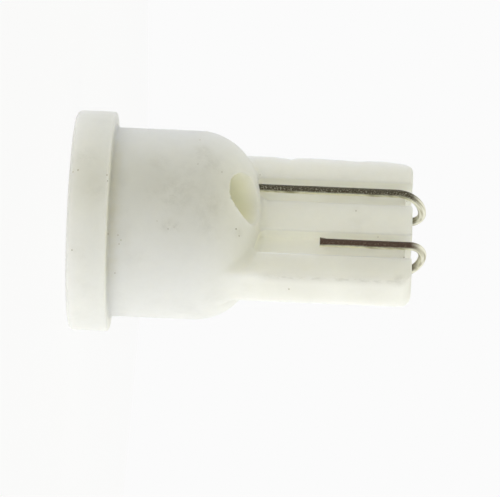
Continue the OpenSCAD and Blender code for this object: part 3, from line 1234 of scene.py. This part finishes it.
# %% Where the specks lie
SPECK_PIXELS = [
    (107, 175, 0.05), (107.5, 181, 0.045), (78, 170, 0.05), (73, 172, 0.04),
    (72, 250, 0.045), (108, 234, 0.05), (118, 235, 0.045), (121, 240, 0.05),
    (119, 244, 0.04), (115, 273, 0.045), (157, 221, 0.03), (168, 229, 0.035),
    (174, 227, 0.03), (200, 140, 0.035), (198, 164, 0.03), (222, 172, 0.035),
    (236, 229, 0.055), (239, 236, 0.045), (260, 175, 0.04), (356, 211, 0.045),
    # The last two on the next line, at the ends of the grooves, are painted shade.
    (289, 289, 0.055), (378, 237, 0.035), (404, 257.5, 0.05), (406.8, 201, 0.04),
]
SPECK_SIZE = 0.52
spots = [on_body(px, py) for px, py, _ in SPECK_PIXELS]
sizes = [size * SPECK_SIZE * MM for _, _, size in SPECK_PIXELS]
print("specks on the body:", len(spots))


# %% The tree that makes the specks
CRUMB_LUMPS = 1.3
ANY_TURN = (6.28, 6.28, 6.28)


def speck_tree():
    tree, given = new_tree("specks_of_grime_and_shade", {"seed": "int", "finish": "material"})
    crumb = add_node(tree, "GeometryNodeMeshIcoSphere", {"Radius": 1.0, "Subdivisions": 3})
    lumps = add_node(tree, "ShaderNodeTexNoise", {"Scale": CRUMB_LUMPS})
    ball = add_node(tree, "GeometryNodeInputPosition").outputs[0]
    lumpy = vector_math(tree, "SCALE", ball)
    tree.links.new(lumps.outputs["Fac"], lumpy.inputs["Scale"])
    shaped = add_node(
        tree, "GeometryNodeSetPosition",
        {"Geometry": crumb.outputs["Mesh"], "Offset": lumpy.outputs[0]},
    )
    size = add_node(tree, "GeometryNodeInputNamedAttribute", {"Name": "size"}, data_type="FLOAT")
    draw = {"Max": ANY_TURN, "Seed": given["seed"]}
    turn = add_node(tree, "FunctionNodeRandomValue", draw, data_type="FLOAT_VECTOR")
    placed = add_node(
        tree, "GeometryNodeInstanceOnPoints",
        {"Points": given["Geometry"], "Instance": shaped.outputs[0],
         "Rotation": turn.outputs[0], "Scale": size.outputs[0]},
    )
    end_tree(tree, placed.outputs[0], given["finish"])
    return tree


# Grime for the specks, and for the two of painted shade.
speck_grime_and_shade, _ = grainy("speck_grime_and_shade", (0.62, 0.58, 0.48), 0.8, 0.0, 0.03, 0.004, 0.4)
specks = grow("specks", points_object(spots, size=sizes), speck_tree(), {"seed": 3, "finish": speck_grime_and_shade})
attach(specks, BODY)

# %% [markdown]
# ## Floor and walls
# The photograph was taken in a light tent: white all round, brightest from
# below, and darkest on the camera's upper side. The floor and the background
# are white to the camera and in reflections, and the floor still takes the
# bulb's shadow. A backdrop could be lit until it turns white, but that light
# would spill on the bulb and wash it out.

# %% Floor
FLOOR_HALF = 60.0
FLOOR_SHADE = 0.12
TABLE_LIGHT = 0.34
PAPER_WHITE = (1.005, 1.005, 1.005, 1)
PAPER = (0.8, 0.8, 0.8)


def seen_directly(tree):
    """1 for a ray from the camera, a reflection or glass, 0 for light that spreads."""
    kinds = add_node(tree, "ShaderNodeLightPath").outputs
    seen = math_node(tree, "MAXIMUM", kinds["Is Camera Ray"], kinds["Is Glossy Ray"])
    return math_node(tree, "MAXIMUM", seen, kinds["Is Transmission Ray"])


floor_mesh = bpy.data.meshes.new("floor")
corners = [
    (sx * FLOOR_HALF * MM, sy * FLOOR_HALF * MM, 0)
    for sx, sy in ((-1, -1), (1, -1), (1, 1), (-1, 1))
]
floor_mesh.from_pydata(corners, [], [(0, 1, 2, 3)])
floor = new_object("floor", floor_mesh)
paper, tree, shader, place = new_finish("white_paper", PAPER, 0.9)
matt = shader.outputs[0]
glow = add_node(tree, "ShaderNodeEmission", {"Color": PAPER_WHITE})
shaded = add_node(tree, "ShaderNodeMixShader", {0: FLOOR_SHADE, 1: glow.outputs[0], 2: matt})
table = add_node(tree, "ShaderNodeEmission", {"Strength": TABLE_LIGHT})
lit = add_node(tree, "ShaderNodeAddShader", {0: matt, 1: table.outputs[0]})
either = add_node(
    tree, "ShaderNodeMixShader", {0: seen_directly(tree), 1: lit.outputs[0], 2: shaded.outputs[0]}
)
tree.links.new(either.outputs[0], tree.nodes["Material Output"].inputs["Surface"])
floor_mesh.materials.append(paper)
floor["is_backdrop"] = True
print("floor", 2 * FLOOR_HALF, "mm square")

# %% World
WALL_WHITE = (0.965, 0.965, 0.965, 1)
WALL_LIGHT = 0.03

world = bpy.data.worlds.new("light_tent")
bpy.context.scene.world = world
world.use_nodes = True
tree = world.node_tree
tree.nodes.clear()
white = add_node(tree, "ShaderNodeBackground", {"Color": WALL_WHITE, "Strength": 1.0})
soft = add_node(tree, "ShaderNodeBackground", {"Color": (1, 1, 0.96, 1), "Strength": WALL_LIGHT})
both = add_node(
    tree, "ShaderNodeMixShader", {0: seen_directly(tree), 1: soft.outputs[0], 2: white.outputs[0]}
)
add_node(tree, "ShaderNodeOutputWorld", {"Surface": both.outputs[0]})
print("world", world.name)

# %% [markdown]
# ## Lamps
# Seven large soft lamps stand round the bulb. Fewer would do for a plain
# look, but the white plastic takes its whole shape from slow changes of
# light, so each side of the tent gets its own lamp, with its own level and
# tint. Together they show flat white about as it is written. Metal doesn't
# mirror the lamps: in a light tent it mirrors the white walls, which the
# world stands for.

# %% A soft lamp
def softbox(name, direction, distance_mm, size_mm, share, tint):
    """A square lamp that gives a surface that faces it the stated share of white."""
    lamp = bpy.data.lights.new(name, "AREA")
    lamp.size = size_mm * MM
    lamp.color = tint
    lamp.energy = share * math.pi**2 * (distance_mm * MM) ** 2
    made = new_object(name, lamp)
    made.location = (TARGET + direction.normalized() * distance_mm) * MM
    made.rotation_mode = "QUATERNION"
    made.rotation_quaternion = (-direction).to_track_quat("-Z", "Y")
    made.visible_glossy = False


def flat_turn(degrees):
    """A direction turned about the bulb's axis, from the camera's side downwards."""
    angle = math.radians(degrees)
    return math.cos(angle) * level - math.sin(angle) * rise


# %% The lamps
LAMPS = (
    ("front_lamp", flat_turn(0), 170, 120, 0.27, (1.09, 1.06, 0.86)),
    ("lower_lamp", flat_turn(68), 150, 130, 0.65, (0.95, 0.97, 1.08)),
    ("under_lamp", flat_turn(105), 150, 130, 0.31, (1.04, 1.03, 0.93)),
    ("lower_back_lamp", flat_turn(140), 150, 150, 0.49, (1.03, 1.04, 0.93)),
    ("upper_back_lamp", flat_turn(-118), 150, 140, 0.62, (0.88, 0.94, 1.18)),
    ("upper_lamp", flat_turn(-80), 150, 130, 0.16, (1.14, 1.08, 0.78)),
    ("end_lamp", along, 150, 150, 0.61, (1.07, 1.07, 0.86)),
)
for name, direction, distance, size, share, tint in LAMPS:
    softbox(name, direction, distance, size, share, tint)
bpy.context.scene.view_settings.view_transform = "Standard"
print("lamps:", len(LAMPS))

# %% The sizes of the whole object, and the end
low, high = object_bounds()
